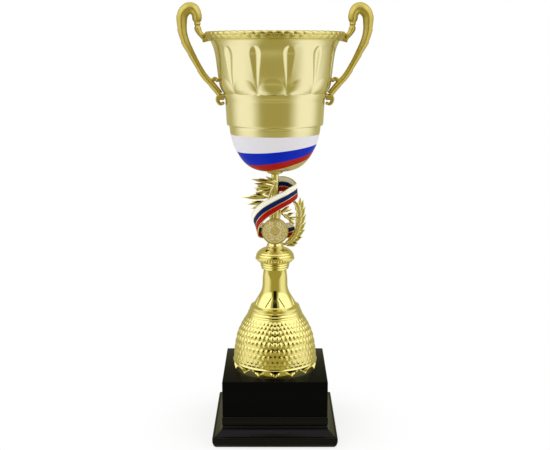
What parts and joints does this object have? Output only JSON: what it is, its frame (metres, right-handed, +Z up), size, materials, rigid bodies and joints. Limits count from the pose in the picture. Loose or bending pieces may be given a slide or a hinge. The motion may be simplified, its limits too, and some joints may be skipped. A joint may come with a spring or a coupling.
{
  "type": "cup trophy",
  "caption": "Tall handled cup trophy: fluted gold bowl and striped lower cup on a laurel, ribbon and medal figure, a turned bell-shaped column and a square black plinth.",
  "frame": {"origin": "centre of the underside of the plinth, at the table", "axes": "+Z up along the cup's centre line; -Y is the front, where the medal faces; the handles lie along X"},
  "size_m": [0.1962, 0.14, 0.4427],
  "materials": {
    "bowl_gold": "polished gold plating on drawn steel, softly lit",
    "handle_gold": "gold plating on a cast scroll",
    "stripe_paint": "gloss enamel in white, blue and red bands under a gold ring",
    "plated_gold": "metallised plastic, bright gold",
    "ribbon_enamel": "white, blue and red enamel bands between thin gold lines",
    "medal_gold": "satin gold, slightly pink",
    "plinth_black": "gloss black moulding",
    "steel": "zinc-plated steel fixings",
    "ballast_iron": "cast slab, unfinished",
    "board": "brown hardboard",
    "felt": "black felt"
  },
  "bodies": {
    "root": {"cup_bowl": "bowl_gold", "rim_band": "bowl_gold", "lower_cup": "stripe_paint", "handle_left": "handle_gold", "handle_right": "handle_gold", "handle_screws": "steel", "handle_washers": "steel", "cup_washer": "steel", "cup_nut": "steel", "cup_stud": "steel", "collar": "plated_gold", "figure_stem": "plated_gold", "laurel_left": "plated_gold", "laurel_right": "plated_gold", "ribbon": "ribbon_enamel", "medal_holder": "plated_gold", "medal_disc": "medal_gold", "column_knob": "plated_gold", "column_bell": "plated_gold", "tie_rod": "steel", "plinth_block": "plinth_black", "plinth_foot": "plinth_black", "ballast": "ballast_iron", "base_washer": "steel", "base_nut": "steel", "closing_board": "board", "board_screws": "steel", "felt_pad": "felt"}
  },
  "joints": []
}
